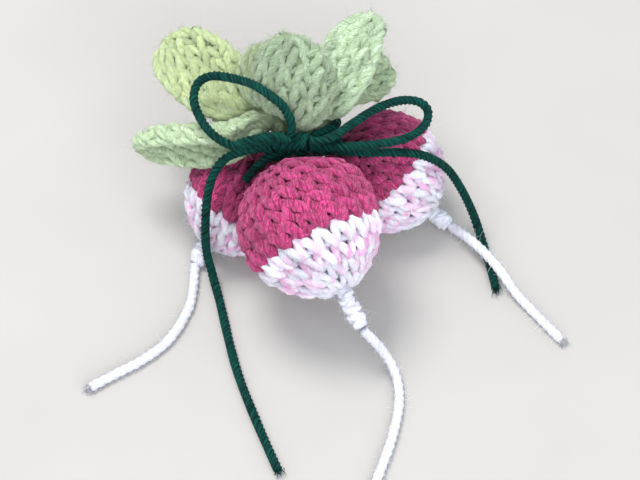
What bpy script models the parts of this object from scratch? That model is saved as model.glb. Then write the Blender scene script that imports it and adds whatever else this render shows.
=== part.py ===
# Crocheted bunch of three radishes, tied round the leaf bases with a green yarn bow.
# Metres, +Z up. It lies on the plane z = 0 with its root ends towards -Y.
import math

import bmesh
import bpy
from mathutils import Vector

MM = 0.001
GAP = 0.3

# All places below are in millimetres, laid out round a point between the three bodies.
# This is the middle of the box round the bunch there, without its loose yarn.
BOX_MIDDLE = (-6.88, 0.59)

# Egg form of a stuffed body, as shares of its radius.
CROWN_LENGTH = 0.97
TIP_LENGTH = 1.17
TIP_TAPER = 1.2

# The crochet fabric: its rounds run from the crown to the root tip, with two rings of points in each round.
FABRIC = 3.0
FILL_GAP = 0.9
RINGS = 24
FIRST_RING = 2
TIP_RING = 22
TIP_CLOSING = 0.8
STITCH_RELIEF = 0.65
LOW_STITCH = 0.3
COLOUR_TOOTH = 0.05
COLOUR_GAP = 0.225
INNER_STEPS = 5
FILL_STEPS = 10

# The knotted yarn at a root tip: its narrowest radius, and the length from which it has two bumps.
KNOT_WAIST = 0.72
TWO_BUMPS_FROM = 4.0
KNOT_STEP = 1.0
KNOT_FEWEST_RINGS = 4

ROOT_YARN = 2.3
TIE_YARN = 2.1
POINT_SPACING = 2.0
ROUTE_STEPS = 20
CORD_FACETS = 2

# The three bodies. At its colour ring each fabric changes from magenta to white.
RADISHES = {
    "front": {
        "centre": (-3.0, -15.0, 28.4),
        "root_way": (0.43, -0.80, -0.375),
        "radius": 18.0,
        "stitches": 20,
        "colour_ring": 14,
        "knot_end": (10.2, -37.6, 15.2),
        "knot_radius": 2.4,
        "tie_press": {"way": (0.05, 0.80, 0.60), "reach": 16.6},
    },
    "left": {
        "centre": (-19.9, 4.4, 13.4),
        "root_way": (-0.608, -0.500, -0.611),
        "radius": 15.0,
        "stitches": 18,
        "colour_ring": 14,
        "knot_end": (-32.7, -8.4, 1.8),
        "knot_radius": 2.3,
    },
    "right": {
        "centre": (16.3, 12.1, 14.7),
        "root_way": (0.735, -0.264, -0.625),
        "radius": 16.2,
        "stitches": 20,
        "colour_ring": 12,
        "knot_end": (33.9, 3.6, 1.9),
        "knot_radius": 2.3,
    },
}

# White yarn ends of the three bodies, from the root knot to the cut end.
ROOT_ROUTES = {
    "front": [
        (10.8, -38.3, 14.0), (12.9, -39.0, 11.5), (15.5, -39.8, 7.6), (18.1, -41.8, 3.8), (19.8, -46.0, 1.5),
        (20.0, -52.5, 1.25), (18.3, -61.4, 1.25), (15.7, -69.8, 1.25), (12.6, -78.7, 1.25),
    ],
    "left": [
        (-32.8, -9.2, 1.7), (-32.9, -11.8, 1.45), (-33.1, -16.2, 1.25), (-34.2, -23.0, 1.25),
        (-38.6, -32.2, 1.25), (-44.8, -38.4, 1.25), (-52.0, -43.1, 1.25), (-58.5, -47.3, 1.25),
    ],
    "right": [
        (34.7, 2.9, 2.1), (36.5, 0.8, 3.0), (39.3, -3.0, 4.6), (43.4, -8.2, 5.2), (47.0, -13.4, 4.8),
        (51.2, -18.9, 2.1), (57.0, -26.1, 1.25), (62.3, -32.9, 1.25),
    ],
}

# The tie: one turn round the leaf bases, a knot in front of it, two loops and two ends.
TIE_CENTRE = (-5.0, 9.5, 33.7)
TIE_WAY = (-0.29, 0.62, 0.73)
TIE_RIGHT = (0.955, 0.241, 0.175)
TIE_RADIUS = 9.7
TIE_TURN = (135.0, 437.0)
TIE_STEPS = 16
KNOT_CENTRE = (-7.4, 1.2, 40.6)
KNOT_HALF = (3.8, 2.2, 2.4)
KNOT_RELIEF = 0.06
KNOT_SLANT = (9.0, 4.0)
KNOT_SEGMENTS = (14, 9)
BOW_ROUTES = {
    "bow_loop_left": [
        (-7.3, 0.6, 44.6), (-7.3, 1.7, 48.0), (-9.0, 3.4, 51.5), (-12.2, 5.0, 54.2), (-16.8, 8.8, 54.2),
        (-22.2, 13.5, 51.0), (-27.4, 16.2, 48.6), (-31.0, 15.3, 46.8), (-32.0, 11.2, 45.2),
        (-30.4, 6.6, 43.8), (-27.6, 2.2, 43.2), (-23.7, -0.9, 42.8), (-19.7, -1.9, 42.5),
        (-15.0, -0.8, 42.4), (-11.9, 0.2, 42.2),
    ],
    "bow_loop_right": [
        (-2.6, -0.2, 43.0), (-0.5, -0.4, 42.8), (3.8, 2.1, 42.0), (8.9, 7.3, 41.0), (14.9, 13.1, 39.5),
        (20.6, 17.0, 37.6), (25.3, 18.0, 36.0), (27.8, 16.0, 35.0), (27.2, 11.6, 34.9), (23.6, 7.3, 35.4),
        (18.0, 4.4, 36.4), (10.7, 2.3, 37.6), (3.8, 0.8, 39.0), (-0.5, 0.1, 39.8), (-2.6, -0.3, 39.9),
    ],
    "bow_tail_left": [
        (-12.1, 0.3, 39.1), (-15.0, 0.6, 38.8), (-20.3, 0.1, 37.8), (-24.4, -1.0, 36.0), (-27.2, -3.1, 32.4),
        (-28.8, -6.4, 27.4), (-29.5, -9.8, 19.8), (-29.5, -10.9, 9.8), (-28.1, -13.3, 2.9),
        (-26.0, -21.0, 1.25), (-22.9, -35.3, 1.15), (-20.1, -45.7, 1.15), (-15.4, -58.9, 1.15),
        (-10.4, -71.7, 1.15),
    ],
    "bow_tail_right": [
        (-0.6, 1.8, 36.6), (6.4, 2.5, 34.9), (13.3, 3.4, 33.3), (20.5, 4.6, 31.8), (27.1, 5.6, 29.0),
        (32.7, 5.6, 24.0), (36.9, 5.2, 15.6), (40.4, 3.2, 7.2), (42.8, -1.6, 2.2), (44.7, -8.8, 1.15),
        (46.0, -16.5, 1.15),
    ],
}

# Leaves: each grows beside its body's crown, is held in the tie, and opens into a blade that faces one way.
# The base and the held place are given in the tie's frame: right, front and through it.
LEAF = 3.0
NECK_HALF_WIDTH = 1.4
NECK_THICKNESS = 2.8
NECK_CURL = 0.15
LEAF_EDGE = 0.9
LEAF_RELIEF = 0.35
FULL_RELIEF_HALF_WIDTH = 4.2
TIGHTEST_BEND = 4.5
LEAVES = {
    "front_leaf_a": {
        "base": (-0.2, 5.6, -3.0), "held_at": (0.5, 5.3, 2.4),
        "blade": [(-4.2, 6.2, 46.0), (-6.8, 9.6, 54.0), (-9.6, 18.8, 60.6)],
        "half_width": 11.3, "face": (0.0, -0.78, 0.62), "curl": -0.8,
    },
    "front_leaf_b": {
        "base": (-2.8, 1.8, -5.5), "held_at": (0.4, -0.1, 2.4),
        "blade": [(-9.6, 13.2, 44.6), (-13.8, 17.8, 48.0), (-16.6, 24.0, 50.0)],
        "half_width": 8.0, "face": (-0.1, -0.70, 0.70), "curl": -0.3,
    },
    "left_leaf_a": {
        "base": (-2.9, -8.1, -7.5), "held_at": (-2.8, -4.5, 2.4),
        "blade": [(-18.0, 16.0, 37.6), (-25.2, 20.2, 38.5), (-33.0, 28.6, 38.0), (-40.5, 38.0, 35.0)],
        "half_width": 9.6, "face": (-0.15, -0.40, 0.90), "curl": 0.7,
    },
    "left_leaf_b": {
        "base": (-5.0, -3.0, -6.2), "held_at": (-5.2, 0.0, 4.4),
        "blade": [(-16.5, 9.2, 37.8), (-21.8, 7.4, 35.8), (-29.7, 9.6, 32.0), (-39.0, 13.4, 26.8),
                  (-47.5, 15.2, 21.0)],
        "half_width": 8.0, "face": (-0.1, -0.90, 0.30), "curl": 1.45,
    },
    "right_leaf_a": {
        "base": (6.8, -4.9, -5.7), "held_at": (5.9, -0.2, 3.2),
        "blade": [(4.2, 13.0, 42.4), (7.0, 20.0, 44.6), (9.2, 28.0, 46.0), (13.0, 38.7, 45.0)],
        "half_width": 8.4, "face": (-0.42, -0.42, 0.80), "curl": 0.6,
    },
    "right_leaf_b": {
        "base": (4.3, -9.4, -5.9), "held_at": (2.5, -4.7, 4.0),
        "blade": [(5.6, 21.4, 37.2), (11.6, 27.4, 35.4), (16.6, 34.0, 32.6)],
        "half_width": 7.5, "face": (0.15, -0.25, 0.95), "curl": 0.4,
    },
}

# Places along a blade, as shares of it: fully open, widest, and its last ring of points.
BLADE_OPEN = 0.35
BLADE_WIDEST = 0.58
BLADE_END = 0.985
TIP_ROUNDNESS = 2.4
TIP_CROWDING = 0.47 * math.pi
BLADE_STATIONS = 11
BLADE_COLUMNS = 7
NECK_STATIONS = 4
TIED_POINTS = 2
TANGENT_STEP = 0.05

COLOURS = {
    "magenta_yarn": (0.42, 0.035, 0.14),
    "white_yarn": (0.76, 0.74, 0.84),
    "leaf_yarn": (0.46, 0.60, 0.30),
    "green_yarn": (0.006, 0.075, 0.06),
    "fibre_fill": (0.80, 0.79, 0.76),
}
YARN_ROUGHNESS = 0.9


def clear_scene():
    for obj in list(bpy.data.objects):
        bpy.data.objects.remove(obj, do_unlink=True)


def yarn_material(colour):
    material = bpy.data.materials.new(colour)
    material.use_nodes = True
    shader = material.node_tree.nodes["Principled BSDF"]
    shader.inputs["Base Color"].default_value = (*COLOURS[colour], 1.0)
    shader.inputs["Roughness"].default_value = YARN_ROUGHNESS
    return material


def add_object(name, data, colour, bunch):
    obj = bpy.data.objects.new(name, data)
    bpy.context.scene.collection.objects.link(obj)
    data.materials.append(yarn_material(colour))
    obj.parent = bunch
    return obj


def smooth_mesh(name, bm):
    bmesh.ops.triangulate(bm, faces=[face for face in bm.faces if len(face.verts) > 4])
    bmesh.ops.recalc_face_normals(bm, faces=bm.faces)
    bmesh.ops.scale(bm, vec=(MM, MM, MM), verts=bm.verts)
    mesh = bpy.data.meshes.new(name)
    bm.to_mesh(mesh)
    bm.free()
    mesh.shade_smooth()
    return mesh


# Bodies


def egg_point(radius, angle):
    # The angle runs from the crown (0) to the root tip (pi).
    if angle < math.pi / 2:
        return radius * math.sin(angle), -CROWN_LENGTH * radius * math.cos(angle)
    return radius * math.sin(angle) ** TIP_TAPER, -TIP_LENGTH * radius * math.cos(angle)


def egg_ring(radius, angle, count, offset=lambda k: (0.0, 0.0)):
    # The offset gives each point's own change of radius and of angle.
    points = []
    for k in range(count):
        swell, shift = offset(k)
        out, along = egg_point(radius + swell, angle + shift)
        turn = 2 * math.pi * k / count
        points.append(Vector((out * math.cos(turn), out * math.sin(turn), along)))
    return points


def stitch_relief(ring):
    # Every second ring lies in the groove between two rounds.
    # The stitches of one round sit between those of the round before.
    def offset(k):
        if ring % 2 == 0:
            return -STITCH_RELIEF, 0.0
        raised = (k + ring // 2) % 2 == 0
        return (STITCH_RELIEF if raised else -LOW_STITCH * STITCH_RELIEF), 0.0
    return offset


def colour_tooth(k):
    return 0.0, (COLOUR_TOOTH if k % 2 else -COLOUR_TOOTH)


def contact_planes(name):
    # Where the ground, the tie and the other bodies press the soft body flat.
    # Each is a point on a plane and the way out of the body.
    spec = RADISHES[name]
    centre = Vector(spec["centre"])
    planes = [(Vector((0, 0, 0)), Vector((0, 0, -1)))]
    if "tie_press" in spec:
        way = Vector(spec["tie_press"]["way"]).normalized()
        planes.append((centre + way * spec["tie_press"]["reach"], way))
    for other_name, other in RADISHES.items():
        if other_name == name:
            continue
        across = Vector(other["centre"]) - centre
        share = spec["radius"] / (spec["radius"] + other["radius"])
        way = across.normalized()
        planes.append((centre + across * share - way * GAP / 2, way))
    turn_back = body_turn(spec).inverted()
    return [(turn_back @ (point - centre), turn_back @ way) for point, way in planes]


def body_turn(spec):
    return Vector((0, 0, 1)).rotation_difference(Vector(spec["root_way"]))


def press_flat(points, planes, depth=0.0):
    pressed = []
    for point in points:
        for plane_point, way in planes:
            past = (point - plane_point).dot(way) + depth
            if past > 0:
                point = point - way * past
        pressed.append(point)
    return pressed


def join_rings(bm, first, second):
    # The second ring has as many points as the first, or half as many.
    count = len(second)
    if len(first) == count:
        for k in range(count):
            n = (k + 1) % count
            bm.faces.new((first[k], first[n], second[n], second[k]))
        return
    for k in range(count):
        n = (k + 1) % count
        left, middle, right = first[2 * k], first[2 * k + 1], first[2 * n]
        bm.faces.new((left, middle, second[k]))
        bm.faces.new((middle, second[n], second[k]))
        bm.faces.new((middle, right, second[n]))


def close_ring(bm, ring, point):
    pole = bm.verts.new(point)
    for k in range(len(ring)):
        bm.faces.new((ring[k], ring[(k + 1) % len(ring)], pole))


def loft(bm, rings):
    rows = [[bm.verts.new(point) for point in ring] for ring in rings]
    for first, second in zip(rows, rows[1:]):
        join_rings(bm, first, second)
    return rows


def ring_angle(ring):
    return math.pi * ring / RINGS


def inner_rings(spec, edge, pole, planes):
    # The fabric's inner face, from the colour edge almost to one end of the body.
    radius = spec["radius"] - FABRIC
    angles = [edge + (pole - edge) * step / INNER_STEPS for step in range(INNER_STEPS)]
    return [press_flat(egg_ring(radius, angle, spec["stitches"]), planes, FABRIC) for angle in angles]


def crown_fabric(name, spec):
    planes = contact_planes(name)
    count = 2 * spec["stitches"]
    edge = ring_angle(spec["colour_ring"]) - COLOUR_GAP / spec["radius"]
    outer = [egg_ring(spec["radius"], ring_angle(ring), count, stitch_relief(ring))
             for ring in range(FIRST_RING, spec["colour_ring"])]
    outer.append(egg_ring(spec["radius"], edge, count, colour_tooth))
    bm = bmesh.new()
    rows = loft(bm, [press_flat(ring, planes) for ring in outer] + inner_rings(spec, edge, 0.0, planes))
    close_ring(bm, rows[0], (0, 0, -CROWN_LENGTH * (spec["radius"] - STITCH_RELIEF)))
    close_ring(bm, rows[-1], (0, 0, -CROWN_LENGTH * (spec["radius"] - FABRIC)))
    return bm


def root_knot_rings(spec, count):
    # Knotted yarn leads from the last round to the loose end, in two bumps where it is long enough.
    turn_back = body_turn(spec).inverted()
    start = Vector((0, 0, TIP_LENGTH * spec["radius"]))
    way = turn_back @ (Vector(spec["knot_end"]) - Vector(spec["centre"])) - start
    bumps = 2 if way.length > TWO_BUMPS_FROM else 1
    turn = Vector((0, 0, 1)).rotation_difference(way)
    steps = max(KNOT_FEWEST_RINGS, round(way.length / KNOT_STEP))
    rings = []
    for step in range(steps):
        share = (step + 0.5) / steps
        swell = abs(math.sin(bumps * math.pi * share))
        radius = spec["knot_radius"] * (KNOT_WAIST + (1 - KNOT_WAIST) * swell)
        ring = []
        for k in range(count):
            angle = 2 * math.pi * k / count
            out = turn @ Vector((radius * math.cos(angle), radius * math.sin(angle), 0))
            ring.append(start + way * share + out)
        rings.append(ring)
    return rings, start + way


def root_fabric(name, spec):
    planes = contact_planes(name)
    stitches = spec["stitches"]
    edge = ring_angle(spec["colour_ring"]) + COLOUR_GAP / spec["radius"]
    outer = [egg_ring(spec["radius"], edge, 2 * stitches, colour_tooth)]
    outer += [egg_ring(spec["radius"], ring_angle(ring), 2 * stitches, stitch_relief(ring))
              for ring in range(spec["colour_ring"] + 1, TIP_RING + 1)]
    outer.append(egg_ring(spec["radius"], ring_angle(TIP_RING + TIP_CLOSING), stitches))
    knot, knot_end = root_knot_rings(spec, stitches // 2)
    bm = bmesh.new()
    outside = loft(bm, [press_flat(ring, planes) for ring in outer + knot])
    inside = loft(bm, inner_rings(spec, edge, math.pi, planes))
    join_rings(bm, outside[0], inside[0])
    close_ring(bm, outside[-1], knot_end)
    close_ring(bm, inside[-1], (0, 0, TIP_LENGTH * (spec["radius"] - FABRIC)))
    return bm


def stuffing(name, spec):
    planes = contact_planes(name)
    depth = FABRIC + FILL_GAP
    radius = spec["radius"] - depth
    rings = [press_flat(egg_ring(radius, math.pi * step / FILL_STEPS, spec["stitches"]), planes, depth)
             for step in range(1, FILL_STEPS)]
    bm = bmesh.new()
    rows = loft(bm, rings)
    close_ring(bm, rows[0], (0, 0, -CROWN_LENGTH * radius))
    close_ring(bm, rows[-1], (0, 0, TIP_LENGTH * radius))
    return bm


def make_radish(name, spec, bunch):
    pieces = (
        ("crown_fabric", crown_fabric, "magenta_yarn"),
        ("root_fabric", root_fabric, "white_yarn"),
        ("stuffing", stuffing, "fibre_fill"),
    )
    for piece, build, colour in pieces:
        node = f"{name}_{piece}"
        obj = add_object(node, smooth_mesh(node, build(name, spec)), colour, bunch)
        obj.location = Vector(spec["centre"]) * MM
        obj.rotation_mode = "QUATERNION"
        obj.rotation_quaternion = body_turn(spec)


# Yarn


def curve_point(points, position):
    # Catmull-Rom curve through the route's points; the position counts them from 0.
    last = len(points) - 1
    k = min(int(position), last - 1)
    t = position - k
    p1, p2 = points[k], points[k + 1]
    p0 = points[k - 1] if k > 0 else 2 * p1 - p2
    p3 = points[k + 2] if k + 2 <= last else 2 * p2 - p1
    return 0.5 * (2 * p1 + (p2 - p0) * t + (2 * p0 - 5 * p1 + 4 * p2 - p3) * t ** 2
                  + (3 * p1 - p0 - 3 * p2 + p3) * t ** 3)


def even_points(route, spacing):
    points = [Vector(point) for point in route]
    fine = [curve_point(points, step / ROUTE_STEPS) for step in range(ROUTE_STEPS * (len(points) - 1) + 1)]
    reach = [0.0]
    for first, second in zip(fine, fine[1:]):
        reach.append(reach[-1] + (second - first).length)
    count = max(2, round(reach[-1] / spacing))
    even = []
    k = 0
    for step in range(count + 1):
        goal = reach[-1] * step / count
        while k < len(reach) - 2 and reach[k + 1] < goal:
            k += 1
        share = (goal - reach[k]) / (reach[k + 1] - reach[k])
        even.append(fine[k].lerp(fine[k + 1], share))
    return even


def make_cord(name, route, diameter, colour, bunch):
    curve = bpy.data.curves.new(name, "CURVE")
    curve.dimensions = "3D"
    curve.bevel_depth = diameter / 2 * MM
    curve.bevel_resolution = CORD_FACETS
    curve.use_fill_caps = True
    points = even_points(route, POINT_SPACING * diameter)
    spline = curve.splines.new("POLY")
    spline.points.add(len(points) - 1)
    for spline_point, point in zip(spline.points, points):
        spline_point.co = (*(point * MM), 1.0)
    return add_object(name, curve, colour, bunch)


def wrap_route():
    start, end = TIE_TURN
    turns = [math.radians(start + (end - start) * step / TIE_STEPS) for step in range(TIE_STEPS + 1)]
    return [tie_point(TIE_RADIUS * math.cos(turn), TIE_RADIUS * math.sin(turn)) for turn in turns]


def make_knot(bunch):
    # An egg with slanting grooves between its turns of yarn.
    bm = bmesh.new()
    bmesh.ops.create_uvsphere(bm, u_segments=KNOT_SEGMENTS[0], v_segments=KNOT_SEGMENTS[1], radius=1.0)
    for vert in bm.verts:
        turns = 1.0 + KNOT_RELIEF * math.cos(KNOT_SLANT[0] * vert.co.x + KNOT_SLANT[1] * vert.co.z)
        vert.co = Vector([co * half * turns for co, half in zip(vert.co, KNOT_HALF)])
    obj = add_object("tie_knot", smooth_mesh("tie_knot", bm), "green_yarn", bunch)
    obj.location = Vector(KNOT_CENTRE) * MM


# Leaves


def blade_share(t, neck_share):
    # Half width along the blade, as a share of its widest: from the neck to a rounded tip.
    if t < BLADE_WIDEST:
        return neck_share + (1 - neck_share) * (1 - math.cos(math.pi * t / BLADE_WIDEST)) / 2
    past = (t - BLADE_WIDEST) / (1 - BLADE_WIDEST)
    return math.sqrt(max(0.0, 1 - past ** TIP_ROUNDNESS))


def tie_point(right, front, through=0.0):
    # A point in the tie's own plane, or ahead of it on the blades' side.
    way = Vector(TIE_WAY).normalized()
    across = Vector(TIE_RIGHT)
    return Vector(TIE_CENTRE) + across * right + across.cross(way) * front + way * through


def leaf_route(spec):
    right, front, _ = spec["held_at"]
    held = [tie_point(*spec["base"]), tie_point(right, front), tie_point(*spec["held_at"])]
    return held + [Vector(point) for point in spec["blade"]]


def leaf_stations(last):
    # Places on the route and along the blade, closer together where the tip rounds off.
    stations = [(TIED_POINTS * step / NECK_STATIONS, 0.0) for step in range(NECK_STATIONS)]
    for step in range(BLADE_STATIONS + 1):
        t = BLADE_END * math.sin(TIP_CROWDING * step / BLADE_STATIONS) / math.sin(TIP_CROWDING)
        stations.append((TIED_POINTS + (last - TIED_POINTS) * t, t))
    return stations


def leaf_section(middle, across, face, half, thickness, curl, station):
    # A ring of points round the blade, bent to an arc; the curl is half of that arc's angle.
    most = half / TIGHTEST_BEND
    curl = max(-most, min(most, curl))
    bend = half / curl
    top, bottom = [], []
    for column in range(BLADE_COLUMNS):
        angle = curl * (2 * column / (BLADE_COLUMNS - 1) - 1)
        line = middle + across * bend * math.sin(angle) + face * bend * (1 - math.cos(angle))
        out = face * math.cos(angle) - across * math.sin(angle)
        relief = LEAF_RELIEF if (column + station) % 2 == 0 else -LEAF_RELIEF
        thick = thickness / 2 + relief * min(1.0, half / FULL_RELIEF_HALF_WIDTH)
        top.append(line + out * thick)
        bottom.append(line - out * thick)
    edges = []
    for side in (-1, 1):
        angle = curl * side
        reach = across * math.cos(angle) + face * math.sin(angle)
        line = middle + across * bend * math.sin(angle) + face * bend * (1 - math.cos(angle))
        edges.append(line + reach * side * LEAF_EDGE)
    return [edges[0]] + top + [edges[1]] + bottom[::-1]


def make_leaf(name, spec, bunch):
    route = leaf_route(spec)
    last = len(route) - 1
    neck_face = tie_point(0, 1) - tie_point(0, 0)
    blade_face = Vector(spec["face"])
    rings = []
    for station, (place, t) in enumerate(leaf_stations(last)):
        ahead = curve_point(route, min(place + TANGENT_STEP, last))
        behind = curve_point(route, max(place - TANGENT_STEP, 0.0))
        along = (ahead - behind).normalized()
        opened = min(1.0, t / BLADE_OPEN)
        across = along.cross(neck_face.lerp(blade_face, opened)).normalized()
        face = across.cross(along)
        half = spec["half_width"] * blade_share(t, NECK_HALF_WIDTH / spec["half_width"])
        thickness = NECK_THICKNESS + (LEAF - NECK_THICKNESS) * opened
        curl = spec["curl"] * (NECK_CURL + (1 - NECK_CURL) * opened)
        rings.append(leaf_section(curve_point(route, place), across, face, half, thickness, curl, station))
    bm = bmesh.new()
    rows = loft(bm, rings)
    bm.faces.new(rows[0])
    bm.faces.new(rows[-1])
    add_object(name, smooth_mesh(name, bm), "leaf_yarn", bunch)


def main():
    clear_scene()
    bunch = bpy.data.objects.new("bunch", None)
    bpy.context.scene.collection.objects.link(bunch)
    bunch.location = (-BOX_MIDDLE[0] * MM, -BOX_MIDDLE[1] * MM, 0)
    for name, spec in RADISHES.items():
        make_radish(name, spec, bunch)
        make_cord(f"{name}_root_tail", ROOT_ROUTES[name], ROOT_YARN, "white_yarn", bunch)
    for name, spec in LEAVES.items():
        make_leaf(name, spec, bunch)
    make_cord("tie_wrap", wrap_route(), TIE_YARN, "green_yarn", bunch)
    make_knot(bunch)
    for name, route in BOW_ROUTES.items():
        make_cord(name, route, TIE_YARN, "green_yarn", bunch)


main()
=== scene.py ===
import math

import bpy
import numpy as np
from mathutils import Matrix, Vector


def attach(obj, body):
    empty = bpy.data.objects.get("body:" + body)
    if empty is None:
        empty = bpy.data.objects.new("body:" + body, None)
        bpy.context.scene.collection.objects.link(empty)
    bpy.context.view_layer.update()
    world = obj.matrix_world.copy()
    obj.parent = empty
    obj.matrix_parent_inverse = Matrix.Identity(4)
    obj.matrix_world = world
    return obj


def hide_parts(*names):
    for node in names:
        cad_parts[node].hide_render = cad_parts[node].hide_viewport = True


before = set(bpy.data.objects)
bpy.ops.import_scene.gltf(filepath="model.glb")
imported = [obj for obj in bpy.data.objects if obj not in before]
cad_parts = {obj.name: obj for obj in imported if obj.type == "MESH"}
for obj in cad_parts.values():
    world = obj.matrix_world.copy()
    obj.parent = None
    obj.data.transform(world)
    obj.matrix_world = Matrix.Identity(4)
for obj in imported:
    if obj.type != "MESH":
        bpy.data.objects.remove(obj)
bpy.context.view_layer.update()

# Crocheted bunch of three radishes on a pale floor. All places here are in millimetres
# in the bunch's own layout, and toMetres moves them into the frame.
bunchMiddle = np.array((-6.88, 0.59, 0.0))
mm = 0.001
rng = np.random.default_rng(11)
floorGap = {"yarn": 0.05, "fuzz": 0.04, "fibre": 0.03}      # mm under what lies on the floor


def toMetres(points):
    return (np.asarray(points, float) - bunchMiddle) * mm


def unit(vectors):
    return vectors / np.maximum(np.linalg.norm(vectors, axis=-1, keepdims=True), 1e-9)


# Camera, floor and light

cameraSetup = {
    "elevation": 54.0,      # degrees above the floor
    "distance": 690.0,
    "focal": 146.25,
    "sensor": 36.0,
}
lighting = {
    "sky": (0.90, 0.94, 1.0),
    "skyPower": 0.98,
    "key": {"place": (-190, 150, 680), "size": 330, "power": 4.5, "colour": (1.0, 0.98, 0.95)},
    "fill": {"place": (180, -560, 330), "size": 600, "power": 3.4, "colour": (0.97, 0.98, 1.0)},
    "target": (0, 0, 20),
}
floorSetup = {
    "half": 1.2,            # metres
    "dark": (0.40, 0.39, 0.375), "light": (0.44, 0.43, 0.415),
    "grain": 60.0, "roughness": 0.85,
}


def aim(thing, place, target=(0.0, 0.0, 0.0)):
    here = Vector(toMetres(place))
    there = Vector(toMetres(target))
    thing.location = here
    thing.rotation_euler = (there - here).to_track_quat("-Z", "Y").to_euler()


def addCamera():
    data = bpy.data.cameras.new("camera")
    data.lens = cameraSetup["focal"]
    data.sensor_width = cameraSetup["sensor"]
    camera = bpy.data.objects.new("camera", data)
    bpy.context.scene.collection.objects.link(camera)
    rise = math.radians(cameraSetup["elevation"])
    away = cameraSetup["distance"]
    aim(camera, (0.0, -away * math.cos(rise), away * math.sin(rise)))
    bpy.context.scene.camera = camera


def addLight(name, setup):
    data = bpy.data.lights.new(name, "AREA")
    data.shape = "DISK"
    data.size = setup["size"] * mm
    data.energy = setup["power"]
    data.color = setup["colour"]
    light = bpy.data.objects.new(name, data)
    bpy.context.scene.collection.objects.link(light)
    aim(light, setup["place"], lighting["target"])


def addSky():
    world = bpy.data.worlds.new("soft studio")
    world.use_nodes = True
    backdrop = world.node_tree.nodes["Background"]
    backdrop.inputs["Color"].default_value = (*lighting["sky"], 1.0)
    backdrop.inputs["Strength"].default_value = lighting["skyPower"]
    bpy.context.scene.world = world
    bpy.context.scene.view_settings.view_transform = "Standard"


def addFloor():
    half = floorSetup["half"]
    corners = [(-half, -half, 0), (half, -half, 0), (half, half, 0), (-half, half, 0)]
    data = bpy.data.meshes.new("floor")
    data.from_pydata(corners, [], [(0, 1, 2, 3)])
    floor = bpy.data.objects.new("floor", data)
    bpy.context.scene.collection.objects.link(floor)
    paint = bpy.data.materials.new("pale floor")
    paint.use_nodes = True
    tree = paint.node_tree
    shader = tree.nodes["Principled BSDF"]
    shader.inputs["Roughness"].default_value = floorSetup["roughness"]
    grain = tree.nodes.new("ShaderNodeTexNoise")
    grain.inputs["Scale"].default_value = floorSetup["grain"]
    ramp = tree.nodes.new("ShaderNodeValToRGB")
    ramp.color_ramp.elements[0].color = (*floorSetup["dark"], 1)
    ramp.color_ramp.elements[1].color = (*floorSetup["light"], 1)
    tree.links.new(grain.outputs["Fac"], ramp.inputs["Fac"])
    tree.links.new(ramp.outputs["Color"], shader.inputs["Base Color"])
    data.materials.append(paint)


addCamera()
addSky()
addLight("key light", lighting["key"])
addLight("fill light", lighting["fill"])
addFloor()
print("camera, light and floor are in")


# Yarn materials
# Each strand carries "fibre" (cosine and sine of the way round it, and mm along it)
# and "tint" (tone, pinkness, and how much painted shade it gets for lying sunk between stitches and plies).

# Pink is the variegation, which is yellow in the leaves, and patches say how sharply it
# comes and goes. Hairs is how dark the painted shade between the finest fibres is, and sunk
# is the painted shade colour for the hollows between stitches and plies.
magentaYarn = {
    "name": "magenta yarn", "slot": "magenta_yarn",
    "deep": (0.33, 0.010, 0.095), "light": (0.80, 0.080, 0.30), "sunk": (0.085, 0.002, 0.022),
    "pink": (0.74, 0.070, 0.27), "patches": (0.4, 0.6), "hairs": 0.48,
    "sheen": (1.0, 0.60, 0.80), "sheenWeight": 0.30, "specular": 0.30,
}
whiteYarn = {
    "name": "white yarn", "slot": "white_yarn",
    # Deep is the yarn's darker fibres, given a blue cast as painted sky light in shade.
    "deep": (0.76, 0.81, 0.96), "light": (0.96, 0.95, 1.0), "sunk": (0.86, 0.84, 0.98),
    "pink": (0.88, 0.42, 0.70), "patches": (0.40, 0.62), "hairs": 0.92,
    "sheen": (1.0, 0.98, 1.0), "sheenWeight": 0.25, "specular": 0.30,
}
leafYarn = {
    "name": "leaf yarn", "slot": "leaf_yarn",
    "deep": (0.38, 0.54, 0.31), "light": (0.70, 0.88, 0.65), "sunk": (0.21, 0.31, 0.14),
    "pink": (0.60, 0.70, 0.32), "patches": (0.05, 0.50), "hairs": 0.66,
    "sheen": (0.90, 1.0, 0.80), "sheenWeight": 0.40, "specular": 0.30,
}
greenYarn = {
    "name": "tie yarn", "slot": "green_yarn",
    "deep": (0.0005, 0.020, 0.018), "light": (0.0018, 0.120, 0.093), "sunk": (0.0, 0.003, 0.0028),
    "pink": (0.0015, 0.088, 0.070), "patches": (0.4, 0.6), "hairs": 0.55,
    "sheen": (0.20, 0.80, 0.65), "sheenWeight": 0.04, "specular": 0.14,
}
yarnSurface = {
    # How fine each noise is: round the strand, round it again and along it.
    "bundles": (2.7, 2.7, 0.32), "hairs": (9.0, 9.0, 0.6), "cloud": (0.5, 0.5, 0.22),
    "bundleRange": (0.38, 0.60), "hairRange": (0.36, 0.60), "roughness": (0.62, 0.92),
    "bump": 0.9, "bumpDepth": 0.45, "sheenRoughness": 0.45,
}


def addNode(tree, kind, **values):
    made = tree.nodes.new(kind)
    for name, value in values.items():
        setattr(made, name, value)
    return made


def mixColours(tree, share, first, second, how="MIX"):
    mixer = addNode(tree, "ShaderNodeMix", data_type="RGBA", blend_type=how)
    # Inputs 0, 6 and 7 and output 2 are the share and the colours.
    for value, socket in ((share, mixer.inputs[0]), (first, mixer.inputs[6]), (second, mixer.inputs[7])):
        if hasattr(value, "links"):
            tree.links.new(value, socket)
        elif isinstance(value, tuple):
            socket.default_value = (*value, 1.0)
        else:
            socket.default_value = value
    return mixer.outputs[2]


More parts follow.
